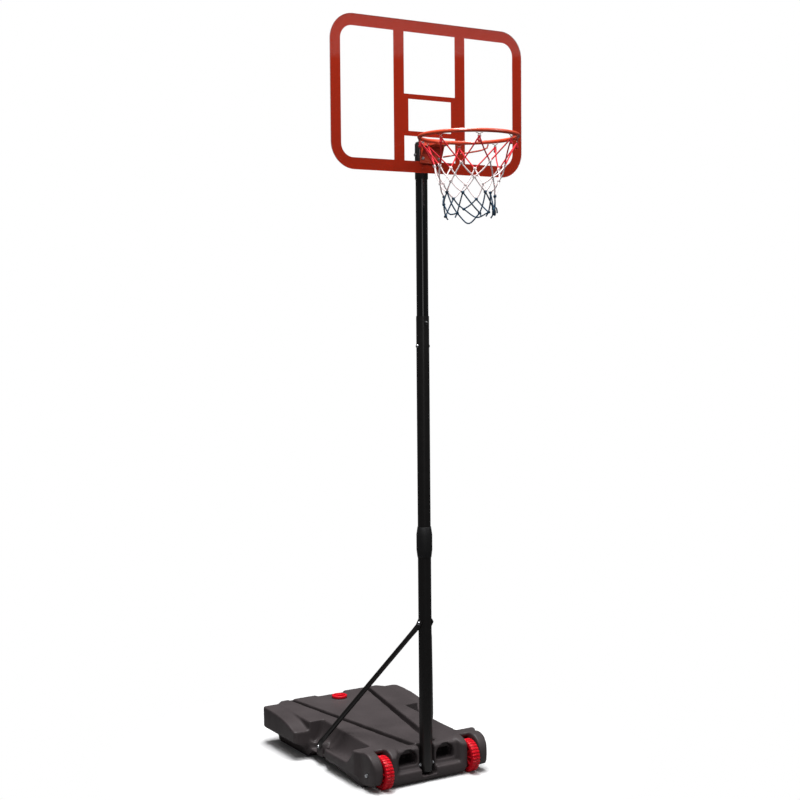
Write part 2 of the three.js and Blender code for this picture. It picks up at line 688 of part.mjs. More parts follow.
// The printed pattern: a border, two stripes, and the target box between them.
function printedPattern() {
  const front = BOARD_BACK_Y + GAP;
  const film = backward(boardOutline(), front, front + PRINT_THICKNESS);
  const opened = (outline) => backward(outline, front - 1, front + PRINT_THICKNESS + 1);
  return cut(
    film,
    ...both(opened(sideWindow())),
    opened(centreWindow(STRIPE_INNER_X, BOARD_BOTTOM + PRINT_BORDER, TARGET_BOTTOM)),
    opened(centreWindow(TARGET_INNER_X, TARGET_BOTTOM + TARGET_BAR, TARGET_TOP - TARGET_BAR)),
    opened(centreWindow(STRIPE_INNER_X, TARGET_TOP, BOARD_TOP - PRINT_BORDER)),
  );
}

add('backboard_print', printedPattern(), FINISH.print);

// ---------------------------------------------------------------- head bracket, behind the board

const PLATE_Y = BOARD_BACK_Y + PRINT_THICKNESS + 2 * GAP;
const PLATE_THICKNESS = 3;

// A sleeve round the pole's top, welded by two webs to a plate against the board.
function headBracket() {
  const sleeve = tube(TOP_POLE_R + GAP, TOP_POLE_R + 2.6, 2896, TOP_POLE_TOP - 2);
  const plate = block([-56, PLATE_Y, 2964], [56, PLATE_Y + PLATE_THICKNESS, 3074]);
  const web = block([8, PLATE_Y + 1, 2964], [11, -26, TOP_POLE_TOP - 2]);
  const bore = bar(TOP_POLE_R + GAP, 400, [0, 0, 1], [0, 0, 3000], 32);
  const webs = both(web).map((piece) => cut(piece, bore));
  return cut(join(sleeve, plate, ...webs), bracketHole, ...boardHoles);
}

add('head_bracket', headBracket(), FINISH.blackPaint);

const sleeveSeat = TOP_POLE_R + 2.6 + GAP;
const bracketBolt = bolt([1, 0, 0], [sleeveSeat, 0, BRACKET_BOLT_Z], 2 * sleeveSeat + 9, 7.5, 5);
add('bracket_bolt', bracketBolt, FINISH.zinc);
add('bracket_nut', nut([-1, 0, 0], [-sleeveSeat, 0, BRACKET_BOLT_Z]), FINISH.zinc);

// ---------------------------------------------------------------- rim

const RING_R = (RIM_INNER + RIM_ROD) / 2;
const ROD_R = RIM_ROD / 2;
const RING_Y = BOARD_FACE_Y - RIM_CLEARANCE - RING_R - ROD_R;
const RING_UNDER = RIM_HEIGHT - ROD_R - GAP;
const MOUNT_FRONT_Y = BOARD_FACE_Y - GAP - PLATE_THICKNESS;

const ringShape = new THREE.TorusGeometry(RING_R, ROD_R, 10, 48);
add('rim_ring', ringShape.translate(0, RING_Y, RIM_HEIGHT), FINISH.rimPaint);

// A plate against the board, a shelf under the ring's back, and a gusset down each side.
function rimBracket() {
  const plate = block([-59, MOUNT_FRONT_Y, 2961], [59, BOARD_FACE_Y - GAP, 3076]);
  const [rootY, tipY] = [MOUNT_FRONT_Y + 1, RING_Y + RING_R - 12];
  const shelfPlan = polygon([[-59, rootY], [-32, tipY], [32, tipY], [59, rootY]]);
  const shelf = raised(shelfPlan, RING_UNDER - PLATE_THICKNESS, RING_UNDER);
  const gusset = across(
    polygon([[MOUNT_FRONT_Y + 1, 2975], [MOUNT_FRONT_Y + 1, RING_UNDER - 1], [-112, RING_UNDER - 1]]),
    55.5,
    58.5,
  );
  return cut(join(plate, shelf, ...both(gusset)), ...boardHoles);
}

add('rim_bracket', rimBracket(), FINISH.rimPaint);

const braceAngle = THREE.MathUtils.degToRad(32);
const BRACE_R = 4;

// A bent rod from the bracket's lower corner out to the ring's side.
function brace() {
  const end = new THREE.Vector3(
    RING_R * Math.cos(braceAngle),
    RING_Y + RING_R * Math.sin(braceAngle),
    RING_UNDER - 1,
  );
  const start = new THREE.Vector3(59 + BRACE_R + GAP, MOUNT_FRONT_Y - 8, 2994);
  const elbow = end.clone().add(new THREE.Vector3(-14, 10, -24));
  const path = new THREE.CatmullRomCurve3([
    start, start.clone().lerp(elbow, 0.5), start.clone().lerp(elbow, 0.94),
    end.clone().add(new THREE.Vector3(-1, 1, -13)), end.clone().add(new THREE.Vector3(0, 0, -6)), end,
  ], false, 'centripetal');
  return rodAlong(path, BRACE_R, 14, 5);
}

for (const [name, side] of SIDES) {
  add(`rim_brace_${name}`, side < 0 ? mirrored(brace()) : brace(), FINISH.rimPaint);
}

const HOOKS = 8;
const HOOK_DEPTH = 20;

// A wire loop under the ring, along the ring's own direction.
function hook(angle) {
  const out = new THREE.Vector3(Math.cos(angle), Math.sin(angle), 0);
  const along = new THREE.Vector3(-out.y, out.x, 0);
  const wireR = 1.6;
  const at = (s, z) => new THREE.Vector3(0, RING_Y, RING_UNDER - wireR + z)
    .addScaledVector(out, RING_R).addScaledVector(along, s);
  const path = new THREE.CatmullRomCurve3([
    at(-15, -0.2), at(-8, -1.5), at(-9, -10), at(-5, -HOOK_DEPTH + 4), at(0, -HOOK_DEPTH + 2),
    at(5, -HOOK_DEPTH + 4), at(9, -10), at(8, -1.5), at(15, -0.2),
  ], false, 'centripetal');
  return rodAlong(path, wireR, 14, 3);
}

for (let i = 0; i < HOOKS; i += 1) {
  const angle = (2 * Math.PI * (i + 0.5)) / HOOKS;
  add(`net_hook_${String(i + 1).padStart(2, '0')}`, hook(angle), FINISH.zinc);
}

// ---------------------------------------------------------------- net

// The net's outer shape: a thin open sleeve that narrows under the ring.
function netSleeve() {
  const thickness = 3;
  const outside = [[214, 3017], [166, 2914], [136, 2858], [126, 2776], [134, 2664]];
  const inside = outside.map(([r, z]) => [r - thickness, z]).reverse();
  return turned([...outside, ...inside, outside[0]], 36).translate(0, RING_Y, 0);
}

add('net', netSleeve(), FINISH.netCord);

for (const { name, x, z } of boardBolts) {
  const seat = MOUNT_FRONT_Y - GAP;
  const back = PLATE_Y + PLATE_THICKNESS + GAP;
  add(`board_bolt_${name}`, bolt([0, -1, 0], [x, seat, z], back - seat + 8, 8, 4), FINISH.zinc);
  add(`board_nut_${name}`, nut([0, 1, 0], [x, back, z]), FINISH.zinc);
}

export default hoop;
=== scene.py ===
import json
import math

import bmesh
import bpy
import numpy as np
from mathutils import Matrix, Vector


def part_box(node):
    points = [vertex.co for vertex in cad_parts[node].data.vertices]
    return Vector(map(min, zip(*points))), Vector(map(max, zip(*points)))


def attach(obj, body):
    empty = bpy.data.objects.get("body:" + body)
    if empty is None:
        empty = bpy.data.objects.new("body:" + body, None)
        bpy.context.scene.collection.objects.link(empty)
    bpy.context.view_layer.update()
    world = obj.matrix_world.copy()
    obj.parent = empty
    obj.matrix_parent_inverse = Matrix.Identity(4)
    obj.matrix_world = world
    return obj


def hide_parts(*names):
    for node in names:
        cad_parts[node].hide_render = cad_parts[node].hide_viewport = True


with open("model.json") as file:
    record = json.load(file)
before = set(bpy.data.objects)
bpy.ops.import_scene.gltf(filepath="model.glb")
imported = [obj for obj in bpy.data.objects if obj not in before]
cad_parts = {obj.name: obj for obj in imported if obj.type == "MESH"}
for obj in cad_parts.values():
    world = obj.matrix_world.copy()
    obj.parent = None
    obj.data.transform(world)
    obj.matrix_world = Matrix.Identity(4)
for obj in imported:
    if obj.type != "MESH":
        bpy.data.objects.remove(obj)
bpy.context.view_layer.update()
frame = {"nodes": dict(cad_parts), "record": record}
nodes = frame["nodes"]

# ---------------------------------------------------------------- camera

CAMERA_PLACE = (-3.5294, -6.0584, 2.2301)
CAMERA_RIGHT = (0.85281, -0.52213, -0.00888)
CAMERA_UP = (0.03769, 0.04461, 0.99829)
LENS = 62.05
SENSOR_WIDTH = 36
CLIP_END = 200


def make_camera():
    """The camera at the photograph's viewing angle."""
    camera = bpy.data.objects.new("camera", bpy.data.cameras.new("camera"))
    camera.data.lens = LENS
    camera.data.sensor_width = SENSOR_WIDTH
    camera.data.clip_end = CLIP_END
    right = Vector(CAMERA_RIGHT).normalized()
    back = right.cross(Vector(CAMERA_UP)).normalized()
    up = back.cross(right)
    turn = Matrix((right, up, back)).transposed().to_4x4()
    camera.matrix_world = Matrix.Translation(CAMERA_PLACE) @ turn
    bpy.context.scene.collection.objects.link(camera)
    bpy.context.scene.camera = camera


make_camera()

# ---------------------------------------------------------------- materials


class Finish:
    """A node material: small helpers to add and join nodes."""

    def __init__(self, name):
        self.material = bpy.data.materials.new(name)
        self.material.use_nodes = True
        self.tree = self.material.node_tree
        self.shader = self.tree.nodes["Principled BSDF"]
        self.place = self.node("ShaderNodeTexCoord").outputs["Object"]

    def node(self, kind, **values):
        """A new node; each value goes to the property or the input of that name."""
        made = self.tree.nodes.new(kind)
        for key, value in values.items():
            if hasattr(made, key):
                setattr(made, key, value)
            else:
                made.inputs[key].default_value = value
        return made

    def link(self, start, end):
        self.tree.links.new(start, end)

    def set(self, **values):
        """Sets the shader's own inputs, named with _ for each space."""
        for key, value in values.items():
            self.shader.inputs[key.replace("_", " ")].default_value = value

    def noise(self, scale, detail=3.0, stretch=None):
        """Noise fixed to the object, stretched by a factor on each axis if one is given."""
        texture = self.node("ShaderNodeTexNoise", Scale=scale, Detail=detail)
        place = self.place
        if stretch:
            mapping = self.node("ShaderNodeMapping", Scale=stretch)
            self.link(place, mapping.inputs["Vector"])
            place = mapping.outputs["Vector"]
        self.link(place, texture.inputs["Vector"])
        return texture.outputs["Fac"]

    def spread(self, factor, low, high, start=0.3, end=0.7):
        """Maps a factor to the range from low to high."""
        node = self.node("ShaderNodeMapRange")
        limits = {"From Min": start, "From Max": end, "To Min": low, "To Max": high}
        for key, value in limits.items():
            node.inputs[key].default_value = value
        self.link(factor, node.inputs["Value"])
        return node.outputs["Result"]

    def ramp(self, factor, *stops):
        """A colour ramp through (position, colour) stops."""
        node = self.node("ShaderNodeValToRGB")
        elements = node.color_ramp.elements
        while len(elements) < len(stops):
            elements.new(0.5)
        for element, (where, color) in zip(elements, stops):
            element.position = where
            element.color = (*color, 1)
        self.link(factor, node.inputs["Fac"])
        return node.outputs["Color"]

    def bump(self, height, distance):
        """A normal that shows relief of the given depth in metres."""
        node = self.node("ShaderNodeBump", Strength=1.0, Distance=distance)
        self.link(height, node.inputs["Height"])
        return node.outputs["Normal"]

    def mix(self, factor, output, color):
        """An output that turns into a plain colour as the factor grows."""
        node = self.node("ShaderNodeMix", data_type="RGBA")
        self.link(factor, node.inputs[0])
        self.link(output, node.inputs[6])
        node.inputs[7].default_value = (*color, 1)
        return node.outputs[2]

    def edges(self):
        """A factor that is over 0.5 along outward edges and under it in creases."""
        return self.node("ShaderNodeNewGeometry").outputs["Pointiness"]

    def color(self, output):
        self.link(output, self.shader.inputs["Base Color"])

    def roughness(self, output):
        self.link(output, self.shader.inputs["Roughness"])

    def normal(self, output):
        self.link(output, self.shader.inputs["Normal"])


def srgb(red, green, blue):
    """A linear colour from display values of 0 to 255."""
    def linear(value):
        value /= 255
        return value / 12.92 if value <= 0.04045 else ((value + 0.055) / 1.055) ** 2.4
    return tuple(linear(value) for value in (red, green, blue))


def shade(color, factor):
    return tuple(min(1, value * factor) for value in color)


def moulded_plastic(name, color, rough, grain, relief=0.00012, spread=0.14):
    """Moulded plastic: fine grain, flow clouds, paler edges (wear and a painted highlight) and
    painted shade in the creases.
    """
    finish = Finish(name)
    clouds = finish.noise(5, 4)
    tint = finish.ramp(clouds, (0.3, shade(color, 1 - spread)), (0.7, shade(color, 1 + spread)))
    # paler outward edges: partly wear, partly a painted highlight where edges catch light
    edge_wear_and_highlight = finish.spread(finish.edges(), 0, 1, 0.53, 0.62)
    worn_and_highlit = finish.mix(edge_wear_and_highlight, tint, shade(color, 1.5))
    # painted shade: creases darkened to 0.35 of the colour, where shade falls
    crease_shade = finish.spread(finish.edges(), 1, 0, 0.42, 0.49)
    finish.color(finish.mix(crease_shade, worn_and_highlit, shade(color, 0.35)))
    fine = finish.noise(grain, 2)
    finish.roughness(finish.spread(finish.noise(14, 4), rough - 0.05, rough + 0.08))
    finish.normal(finish.bump(fine, relief))
    return finish


def paint(name, color, rough, coat, peel=0.00005):
    """Sprayed paint: orange peel under a thin clear coat, with slight dust."""
    finish = Finish(name)
    clouds = finish.noise(9, 5)
    finish.color(finish.ramp(clouds, (0.35, shade(color, 0.9)), (0.65, shade(color, 1.1))))
    finish.roughness(finish.spread(finish.noise(40, 4), rough - 0.03, rough + 0.05))
    finish.normal(finish.bump(finish.noise(420, 1), peel))
    finish.set(Coat_Weight=coat, Coat_Roughness=0.06)
    return finish


def plated(name, color, rough):
    """Plated steel: fine turning marks and a soft, blotchy shine."""
    finish = Finish(name)
    finish.set(Metallic=1.0)
    finish.color(finish.ramp(finish.noise(60, 4), (0.3, shade(color, 0.75)), (0.7, color)))
    finish.roughness(finish.spread(finish.noise(130, 3), rough - 0.08, rough + 0.12))
    finish.normal(finish.bump(finish.noise(900, 2, (1, 1, 6)), 0.00003))
    return finish


TANK = moulded_plastic("tank_plastic", srgb(70, 64, 65), rough=0.42, grain=900)
TANK.set(Specular_IOR_Level=0.2)
RED = moulded_plastic("red_plastic", srgb(206, 8, 30), rough=0.36, grain=1200, relief=0.00006,
                      spread=0.08)
RED.set(Specular_IOR_Level=0.3)
RED.set(Subsurface_Weight=0.05, Subsurface_Radius=(0.01, 0.002, 0.002))
BLACK_PLASTIC = moulded_plastic("black_plastic", srgb(24, 24, 25), rough=0.4, grain=1400,
                                relief=0.00006)
RUBBER = moulded_plastic("black_rubber", srgb(26, 26, 26), rough=0.7, grain=1800, relief=0.00008)
SATIN = paint("black_paint", srgb(20, 18, 18), rough=0.34, coat=0.1)
GLOSS = paint("gloss_black_paint", srgb(7, 7, 8), rough=0.1, coat=0.8, peel=0.00002)
RIM = paint("rim_paint", srgb(200, 66, 34), rough=0.34, coat=0.4)
ZINC = plated("zinc_steel", srgb(196, 198, 202), rough=0.3)
WIRE = plated("dark_wire", srgb(196, 172, 166), rough=0.32)

CLEAR_FACE = 0.004  # how opaque the clear sheet is on its two faces
CLEAR_EDGE = 0.45  # and on its narrow edges
PRINT_RED = srgb(153, 32, 3)


def clear_sheet():
    """Clear polycarbonate: nearly invisible on its faces, with pale, visible edges."""
    finish = Finish("clear_sheet")
    haze = (0.3, srgb(226, 238, 242)), (0.7, srgb(248, 252, 253))
    finish.color(finish.ramp(finish.noise(3, 3), *haze))
    finish.roughness(finish.spread(finish.noise(24, 4), 0.03, 0.09))
    axes = finish.node("ShaderNodeSeparateXYZ")
    finish.link(finish.node("ShaderNodeNewGeometry").outputs["True Normal"], axes.inputs[0])
    facing = finish.node("ShaderNodeMath", operation="ABSOLUTE")
    finish.link(axes.outputs["Y"], facing.inputs[0])
    alpha = finish.spread(facing.outputs[0], CLEAR_EDGE, CLEAR_FACE, 0.4, 0.9)
    finish.link(alpha, finish.shader.inputs["Alpha"])
    finish.set(IOR=1.5)
    return finish


def printed_film():
    """Screen print seen in fine horizontal lines, with a glossy surface."""
    finish = Finish("print_film")
    lines = finish.node("ShaderNodeTexWave", bands_direction="Z", Scale=95, Distortion=0.25)
    finish.link(finish.place, lines.inputs["Vector"])
    dots = finish.node("ShaderNodeTexVoronoi", Scale=240)
    finish.link(finish.place, dots.inputs["Vector"])
    join = finish.node("ShaderNodeMath", operation="MULTIPLY")
    finish.link(lines.outputs["Fac"], join.inputs[0])
    finish.link(dots.outputs["Distance"], join.inputs[1])
    dark, light = shade(PRINT_RED, 0.93), shade(PRINT_RED, 1.2)
    finish.color(finish.ramp(join.outputs[0], (0.05, dark), (0.5, light)))
    finish.roughness(finish.spread(finish.noise(30, 3), 0.012, 0.03))
    finish.normal(finish.bump(lines.outputs["Fac"], 0.000002))
    finish.set(Coat_Weight=0.1, Coat_Roughness=0.03, Specular_IOR_Level=0.2)
    return finish


def cord_finish():
    """Spun cord that lets a little light through; its colour comes from the mesh."""
    finish = Finish("net_cord")
    stain = finish.node("ShaderNodeAttribute", attribute_name="cord_color")
    fuzz = finish.noise(900, 3)
    dull = finish.node("ShaderNodeMix", data_type="RGBA", blend_type="MULTIPLY")
    dull.inputs[0].default_value = 1.0
    finish.link(stain.outputs["Color"], dull.inputs[6])
    finish.link(finish.ramp(fuzz, (0.3, (0.7, 0.7, 0.7)), (0.6, (1, 1, 1))), dull.inputs[7])
    finish.color(dull.outputs[2])
    finish.normal(finish.bump(fuzz, 0.0004))
    finish.set(Roughness=0.85, Sheen_Weight=0.08, Subsurface_Weight=0.5, Subsurface_Scale=0.006)
    finish.shader.inputs["Subsurface Radius"].default_value = (1, 1, 1)
    return finish


CLEAR = clear_sheet()
PRINT = printed_film()
CORD = cord_finish()

FINISHES = {
    "black_rubber": RUBBER,
    "black_plastic": BLACK_PLASTIC,
    "black_paint": SATIN,
    "gloss_black_paint": GLOSS,
    "rim_paint": RIM,
    "zinc_steel": ZINC,
    "dark_wire": WIRE,
    "clear_sheet": CLEAR,
    "print_film": PRINT,
    "tank_plastic": TANK,
    "red_plastic": RED,
    "net_cord": CORD,
}
SLOTS = {entry["node"]: entry["material_slot"] for entry in frame["record"]["subparts"]}

SMOOTH_ANGLE = math.radians(35)
BEVEL_ANGLE = math.radians(40)
WELD_DISTANCE = 0.00002
ROUNDED_EDGES = {  # bevel widths
    "filler_cap": 0.001,
    "rim_bracket": 0.0006,
    "head_bracket": 0.0006,
    "pole_collar": 0.001,
}


def dress(obj, finish, smooth=SMOOTH_ANGLE):
    """Gives an object one finish, with smooth shading up to an angle."""
    obj.data.materials.clear()
    obj.data.materials.append(finish.material)
    obj.data.shade_smooth()
    obj.data.set_sharp_from_angle(angle=smooth)


def round_facets(obj, edge):
    """Joins the facets' corners, so that round faces shade smoothly, and rounds sharp edges."""
    normals = obj.data.attributes.get("custom_normal")
    if normals:
        obj.data.attributes.remove(normals)
    weld = obj.modifiers.new("weld", "WELD")
    weld.merge_threshold = WELD_DISTANCE
    if edge:
        bevel = obj.modifiers.new("bevel", "BEVEL")
        bevel.width = edge
        bevel.segments = 2
        bevel.angle_limit = BEVEL_ANGLE
    split = obj.modifiers.new("split", "EDGE_SPLIT")
    split.split_angle = SMOOTH_ANGLE


for name, node in nodes.items():
    dress(node, FINISHES[SLOTS[name]])
    round_facets(node, ROUNDED_EDGES.get(name, 0))

# ---------------------------------------------------------------- mesh helpers


def new_piece(name, vertices, faces, finish, body, *replaced):
    """A mesh piece that rides on a body and stands for the CAD nodes it replaces."""
    mesh = bpy.data.meshes.new(name)
    mesh.from_pydata([tuple(v) for v in vertices], [], faces)
    mesh.validate()
    tidy = bmesh.new()
    tidy.from_mesh(mesh)
    bmesh.ops.recalc_face_normals(tidy, faces=tidy.faces)
    tidy.to_mesh(mesh)
    tidy.free()
    obj = bpy.data.objects.new(name, mesh)
    bpy.context.scene.collection.objects.link(obj)
    dress(obj, finish)
    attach(obj, body)
    if replaced:
        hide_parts(*replaced)
    return obj


def ring_faces(rings, around, closed=False):
    """Quads between successive rings of points."""
    faces = []
    last = rings if closed else rings - 1
    for i in range(last):
        j = (i + 1) % rings
        for k in range(around):
            m = (k + 1) % around
            faces.append((i * around + k, i * around + m, j * around + m, j * around + k))
    return faces


TUBE_SIDES = 10


def tube(points, start_side, thickness):
    """A closed tube along points; thickness gives its radius at a point's index and an angle."""
    tangent = np.gradient(points, axis=0)
    tangent /= np.linalg.norm(tangent, axis=1)[:, None]
    side = np.cross(tangent[0], start_side)
    vertices = []
    for i, (point, direction) in enumerate(zip(points, tangent)):
        side = side - direction * side.dot(direction)
        side /= np.linalg.norm(side)
        other = np.cross(direction, side)
        for k in range(TUBE_SIDES):
            angle = 2 * math.pi * k / TUBE_SIDES
            out = math.cos(angle) * side + math.sin(angle) * other
            vertices.append(point + thickness(i, angle) * out)
    faces = ring_faces(len(points), TUBE_SIDES)
    faces.append(tuple(range(TUBE_SIDES)))
    faces.append(tuple((len(points) - 1) * TUBE_SIDES + k for k in range(TUBE_SIDES)))
    return vertices, faces


def curve_through(points, steps=10):
    """A smooth path through the points."""
    points = np.asarray(points, float)
    padded = np.vstack([2 * points[0] - points[1], points, 2 * points[-1] - points[-2]])
    path = []
    for i in range(1, len(padded) - 2):
        a, b, c, d = padded[i - 1:i + 3]
        for t in np.linspace(0, 1, steps, endpoint=False):
            path.append(0.5 * ((2 * b) + (c - a) * t + (2 * a - 5 * b + 4 * c - d) * t * t
                               + (3 * b - a - 3 * c + d) * t ** 3))
    path.append(points[-1])
    return np.array(path)


# ---------------------------------------------------------------- tank

TANK_VOXEL = 0.0045
TANK_SOFTENING = 14


def apply_modifiers(obj):
    """Turns an object's modified shape into its mesh."""
    bpy.context.view_layer.update()
    shape = obj.evaluated_get(bpy.context.evaluated_depsgraph_get())
    mesh = bpy.data.meshes.new_from_object(shape)
    obj.modifiers.clear()
    obj.data = mesh


def smooth_tank():
    """The tank with the soft, rounded corners of blow moulding."""
    obj = nodes["base_tank"].copy()
    obj.data = nodes["base_tank"].data.copy()
    obj.name = "tank_shell"
    obj.modifiers.clear()
    for key in list(obj.keys()):  # the copy is not a CAD node
        del obj[key]
    obj.parent = None
    bpy.context.scene.collection.objects.link(obj)
    remesh = obj.modifiers.new("remesh", "REMESH")
    remesh.mode = "VOXEL"
    remesh.voxel_size = TANK_VOXEL
    soften = obj.modifiers.new("soften", "SMOOTH")
    soften.factor = 0.5
    soften.iterations = TANK_SOFTENING
    apply_modifiers(obj)
    dress(obj, TANK, math.radians(80))
    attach(obj, "base")
    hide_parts("base_tank")


smooth_tank()

# ---------------------------------------------------------------- wheels

RIBS = 30
STEPS_PER_RIB = 6
GROOVE_SHARE = 0.34  # of the tread, between the ribs
RIB_HEIGHT = 0.0032
SIDE_NOTCH = 0.0018
SPOKES = 8
SPOKE_HEIGHT = 0.0065
SPOKE_START = 0.72


def wheel_points(radius, half):
    """The wheel's section from hub to hub over the tread, as (across, radius, kind)."""
    face = [
        (half - 0.002, 0.0053, "hub"),
        (half - 0.002, 0.0145, "hub"),
        (half - 0.003, 0.0165, "hub"),
        (half - 0.009, 0.0185, "hub"),
        (half - 0.010, 0.024, "web"),
        (half - 0.010, 0.046, "web"),
        (half - 0.009, 0.0545, "hub"),
        (half - 0.001, 0.058, "hub"),
        (half, 0.0605, "hub"),
        (half, 0.0685, "hub"),
        (half - 0.0008, 0.0715, "side"),
        (half - 0.0012, radius - 0.0045, "side"),
        (half - 0.0035, radius - 0.001, "tread"),
        (half - 0.006, radius, "tread"),
        (0.003, radius, "tread"),
        (0.0015, radius - 0.003, "groove"),
    ]
    mirrored = [(-across, r, kind) for across, r, kind in reversed(face)]
    return face + mirrored


def wheel_mesh(centre, radius, half):
    """The section turned round the axle, with crosswise ribs on the tread and low spokes."""
    section = wheel_points(radius, half)
    around = RIBS * STEPS_PER_RIB
    vertices = []
    for i in range(around):
        angle = 2 * math.pi * i / around
        sunk = 1.0 if (i % STEPS_PER_RIB) / STEPS_PER_RIB < GROOVE_SHARE else 0.0
        spoke = max(0, 0.5 + 0.5 * math.cos(SPOKES * angle) - SPOKE_START) / (1 - SPOKE_START)
        for across, r, kind in section:
            if kind == "tread":
                r -= RIB_HEIGHT * sunk
            if kind == "side":
                across -= math.copysign(SIDE_NOTCH * sunk, across)
            if kind == "web":
                across += math.copysign(SPOKE_HEIGHT * spoke, across)
            turned = Vector((across, r * math.sin(angle), r * math.cos(angle)))
            vertices.append(centre + turned)
    return vertices, ring_faces(around, len(section), closed=True)


for side in ("left", "right"):
    low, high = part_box(f"wheel_{side}")
    centre = (low + high) / 2
    vertices, faces = wheel_mesh(centre, (high.z - low.z) / 2, (high.x - low.x) / 2)
    new_piece(f"ribbed_wheel_{side}", vertices, faces, RED, f"wheel_{side}", f"wheel_{side}")

# ---------------------------------------------------------------- net

CELLS = 8  # round the ring, one for each hook
CORD_R = 0.0033
CORD_STEP = 0.0022  # between the rings of points along a cord
CORD_TWIST = 330  # radians a metre
KNOT_SIZE = 0.0052
HOOK_KNOT_SIZE = 0.0045
HOOK_LOOP_DROP = 0.018
BLUE_LEVEL = 2  # the knots from this row down are blue
SLACK_LOOPS = ((262, 0.046), (187, 0.022), (60, 0.03))  # degrees round the ring, droop
TANGLE_ANGLE = 290
NET_BLUE = srgb(14, 56, 84)
NET_WHITE = srgb(244, 228, 228)
NET_RED = srgb(214, 10, 34)
random = np.random.default_rng(7)

ring_low, ring_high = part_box("rim_ring")
RING_CENTRE = np.array([0, (ring_low.y + ring_high.y) / 2, 0])


def around_ring(angle, radius, z):
    """A point at a height and a distance from the ring's upright axis."""
    return RING_CENTRE + np.array([radius * math.cos(angle), radius * math.sin(angle), z])


def twisted_cord(path, colors):
    """A two-strand twisted cord along a path: vertices, faces, and a colour for each vertex."""
    path = np.asarray(path, float)
    steps = np.linalg.norm(np.diff(path, axis=0), axis=1)
    length = np.concatenate([[0], np.cumsum(steps)])
    count = max(4, int(length[-1] / CORD_STEP))
    where = np.linspace(0, length[-1], count)

    def resampled(values):
        columns = np.asarray(values).T
        return np.stack([np.interp(where, length, column) for column in columns], 1)

    def strands(i, angle):
        return CORD_R * (0.86 + 0.2 * abs(math.cos(angle - where[i] * CORD_TWIST)))

    vertices, faces = tube(resampled(path), [0.3, 0.5, 0.81], strands)
    return np.array(vertices), faces, np.repeat(resampled(colors), TUBE_SIDES, axis=0)


class Net:
    """Collects cords into one mesh."""

    def __init__(self):
        self.vertices, self.faces, self.colors = [], [], []
        self.count = 0

    def cord(self, path, colors):
        vertices, faces, tint = twisted_cord(path, colors)
        self.vertices.append(vertices)
        self.faces += [tuple(k + self.count for k in face) for face in faces]
        self.colors.append(tint)
        self.count += len(vertices)

    def knot(self, place, color, size=KNOT_SIZE):
        """A small overhand knot: a tight trefoil of the same cord."""
        t = np.linspace(0, 2 * math.pi, 40)
        x = np.sin(t) + 2 * np.sin(2 * t)
        y = np.cos(t) - 2 * np.cos(2 * t)
        z = -np.sin(3 * t)
        turn = random.uniform(0, math.pi)
        across = x * math.cos(turn) - y * math.sin(turn)
        along = x * math.sin(turn) + y * math.cos(turn)
        path = np.asarray(place) + np.stack([across, along, 2 * z], 1) * size / 3
        self.cord(path, plain(color, path))


def sag(a, b, drop, bulge):
    """A cord from a to b that hangs a little and leans out from the net's middle."""
    middle = (a + b) / 2
    out = middle - RING_CENTRE
    out[2] = 0
    out /= np.linalg.norm(out)
    low = middle + out * bulge - np.array([0, 0, drop])
    return curve_through([a, low, b])


def plain(color, path):
    """One colour all along a path."""
    return np.tile(color, (len(path), 1))


def blend_colors(count, start, end, change):
    """Colours along a cord that go from one to the other at a fraction of its length."""
    t = np.linspace(0, 1, count)
    mix = np.clip((t - change) / 0.06 + 0.5, 0, 1)[:, None]
    return np.asarray(start) * (1 - mix) + np.asarray(end) * mix


ROWS = [
    # radius, height, how far knots wander
    (0.160, 2.918, 0.010),
    (0.136, 2.850, 0.012),
    (0.124, 2.788, 0.018),
    (0.118, 2.720, 0.030),
]


def net_rows():
    """The knots' places, row by row; each row is half a cell round from the one above."""
    rows = []
    for level, (radius, z, wander) in enumerate(ROWS):
        row = []
        for i in range(CELLS):
            angle = 2 * math.pi * (i + 0.5 + 0.5 * (level + 1)) / CELLS
            angle += random.uniform(-1, 1) * wander / radius
            away = radius + random.uniform(-0.6, 0.2) * wander
            row.append(around_ring(angle, away, z + random.uniform(-1, 1) * wander))
        rows.append(row)
    return rows


def hook_places():
    """Where the cords hang in the wire hooks."""
    places = []
    for i in range(CELLS):
        low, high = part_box(f"net_hook_{i + 1:02d}")
        centre = (low + high) / 2
        places.append(np.array([centre.x, centre.y, low.z + 0.0035]))
    return places


def hang_cords(net, first_row):
    """The red cords from each hook to the two knots below it, and the loop over the hook."""
    for i, hook in enumerate(hook_places()):
        before, after = first_row[i - 1], first_row[i]
        tip = hook + np.array([0, 0, 0.0015])
        for target in (before, after):
            path = sag(tip, target, 0.003, -0.004)
            net.cord(path, blend_colors(len(path), NET_RED, NET_WHITE, 0.93))
        spread = (after - before) * 0.035
        down = np.array([0, 0, HOOK_LOOP_DROP])
        loop = curve_through([hook - spread - down, hook - spread * 0.6, tip,
                              hook + spread * 0.6, hook + spread - down])
        net.cord(loop, plain(NET_RED, loop))
        net.knot(hook - np.array([0, 0, HOOK_LOOP_DROP + 0.001]), NET_RED, HOOK_KNOT_SIZE)


def knot_color(level):
    return NET_BLUE if level >= BLUE_LEVEL else NET_WHITE


def build_net():
    """The net down to its lowest row of knots."""
    net = Net()
    rows = net_rows()
    hang_cords(net, rows[0])
    for level, row in enumerate(rows):
        for i, place in enumerate(row):
            net.knot(place, knot_color(level))
            if level + 1 < len(rows):
                below = rows[level + 1]
                for target in (below[i - 1], below[i]):
                    path = sag(place, target, 0.004, 0.004)
                    ends = knot_color(level), knot_color(level + 1)
                    net.cord(path, blend_colors(len(path), *ends, 0.9))
    return net, rows


def loose_end(net, place, angle, length):
    """A short loose end under a knot, which leans towards an angle."""
    lean = np.array([math.cos(angle), math.sin(angle), 0]) * 0.012
    drop = np.array([0, 0, length])
    path = curve_through([place, place + (lean - drop) * 0.4, place + lean - drop])
    net.cord(path, plain(NET_BLUE, path))


